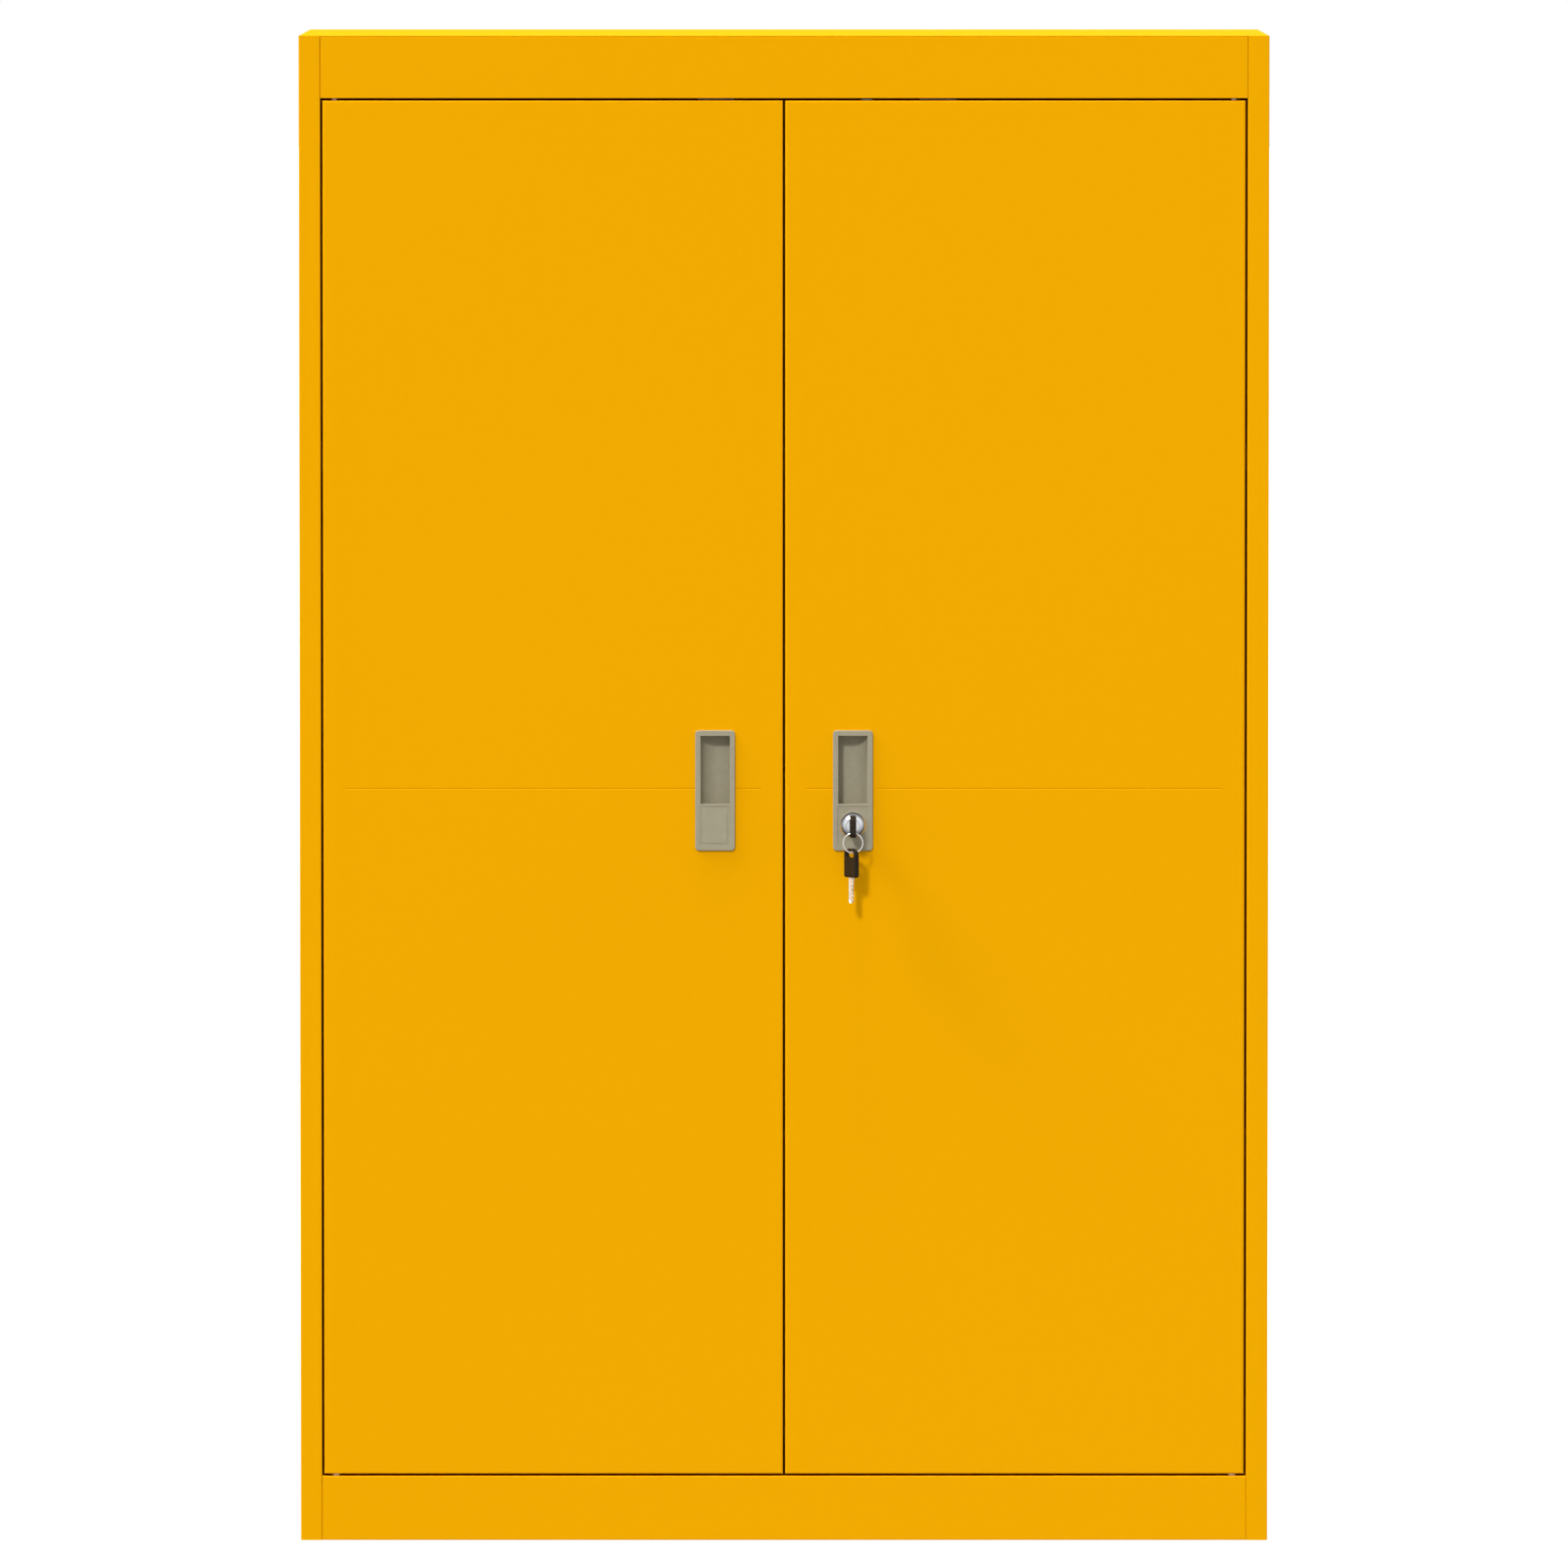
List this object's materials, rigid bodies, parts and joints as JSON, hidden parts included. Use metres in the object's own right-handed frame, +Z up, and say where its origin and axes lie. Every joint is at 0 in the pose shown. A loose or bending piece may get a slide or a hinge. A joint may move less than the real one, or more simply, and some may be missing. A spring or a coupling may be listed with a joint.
{
  "type": "two-door storage cabinet",
  "caption": "Tall steel storage cabinet with two inset doors, recessed handles, a key-operated rod lock and adjustable shelves.",
  "frame": {"origin": "on the floor at the centre of the cabinet's footprint, without the key", "axes": "+Z up, +Y towards the back, so the doors face -Y, and +X to the right of someone facing the doors"},
  "size_m": [0.9, 0.4321, 1.4],
  "materials": {
    "body_paint": "satin",
    "handle_plastic": "matte",
    "key_plastic": "satin",
    "nylon": "matte",
    "chrome": "polished",
    "nickel": "satin",
    "zinc": "satin"
  },
  "bodies": {
    "cabinet": {"left_side_panel": "body_paint", "right_side_panel": "body_paint", "back_panel": "body_paint", "top_panel": "body_paint", "header_rail": "body_paint", "base_frame": "body_paint", "floor_panel": "body_paint", "front_left_standard": "zinc", "front_right_standard": "zinc", "rear_left_standard": "zinc", "rear_right_standard": "zinc", "lower_shelf_clips": "zinc", "middle_shelf_clips": "zinc", "upper_shelf_clips": "zinc", "left_header_hinge_plate": "zinc", "right_header_hinge_plate": "zinc", "left_floor_hinge_plate": "zinc", "right_floor_hinge_plate": "zinc", "header_keeper": "zinc", "floor_keeper": "zinc", "header_catches": "nylon", "floor_catches": "nylon", "catch_screws": "zinc", "top_screws": "zinc", "base_screws": "zinc"},
    "lower_shelf": {"lower_shelf": "body_paint"},
    "middle_shelf": {"middle_shelf": "body_paint"},
    "upper_shelf": {"upper_shelf": "body_paint"},
    "left_door": {"left_door_panel": "body_paint", "left_door_channel": "body_paint", "left_door_brackets": "zinc", "left_handle": "handle_plastic", "left_upper_pivot": "nylon", "left_lower_pivot": "nylon", "left_strikes": "zinc"},
    "right_door": {"right_door_panel": "body_paint", "right_door_channels": "body_paint", "right_door_brackets": "zinc", "right_handle": "handle_plastic", "right_upper_pivot": "nylon", "right_lower_pivot": "nylon", "right_strikes": "zinc", "rod_guides": "nylon", "lock_housing": "chrome", "lock_nut": "zinc"},
    "lock_plug": {"lock_plug": "chrome", "lock_cam": "zinc", "cam_screw": "zinc"},
    "upper_rod": {"upper_rod": "zinc"},
    "lower_rod": {"lower_rod": "zinc"},
    "key": {"key_bow": "key_plastic", "key_blade": "nickel"},
    "key_ring": {"key_ring": "chrome"},
    "spare_key": {"spare_bow": "key_plastic", "spare_blade": "nickel"}
  },
  "joints": [
    {"name": "left_door_hinge", "type": "hinge", "parent": "cabinet", "child": "left_door", "pos_m": [-0.417, -0.1925, 0.061], "axis": [0, 0, -1], "range_deg": [0, 110]},
    {"name": "right_door_hinge", "type": "hinge", "parent": "cabinet", "child": "right_door", "pos_m": [0.417, -0.1925, 0.061], "axis": [0, 0, 1], "range_deg": [0, 110]},
    {"name": "key_turn", "type": "hinge", "parent": "right_door", "child": "lock_plug", "pos_m": [0.064, -0.2, 0.667], "axis": [0, -1, 0], "range_deg": [0, 90]},
    {"name": "upper_rod_slide", "type": "slide", "parent": "right_door", "child": "upper_rod", "axis": [0, 0, 1], "range_m": [0, 0.01697]},
    {"name": "lower_rod_slide", "type": "slide", "parent": "right_door", "child": "lower_rod", "axis": [0, 0, -1], "range_m": [0, 0.01697]},
    {"name": "key_slide", "type": "slide", "parent": "lock_plug", "child": "key", "axis": [0, -1, 0], "range_m": [0, 0.026]},
    {"name": "ring_swing", "type": "hinge", "parent": "key", "child": "key_ring", "pos_m": [0.064, -0.225, 0.6605], "axis": [1, 0, 0], "range_deg": [-60, 15]},
    {"name": "spare_key_swing", "type": "hinge", "parent": "key_ring", "child": "spare_key", "pos_m": [0.064, -0.225, 0.6434], "axis": [1, 0, 0], "range_deg": [-60, 25]},
    {"name": "lower_shelf_lift", "type": "slide", "parent": "cabinet", "child": "lower_shelf", "axis": [0, 0, 1], "range_m": [0, 0.03]},
    {"name": "middle_shelf_lift", "type": "slide", "parent": "cabinet", "child": "middle_shelf", "axis": [0, 0, 1], "range_m": [0, 0.03]},
    {"name": "upper_shelf_lift", "type": "slide", "parent": "cabinet", "child": "upper_shelf", "axis": [0, 0, 1], "range_m": [0, 0.03]}
  ],
  "couplings": [
    {"joint": "key_turn", "follows": "upper_rod_slide", "rad_per_m": 92.56},
    {"joint": "lower_rod_slide", "follows": "upper_rod_slide", "ratio": 1}
  ]
}
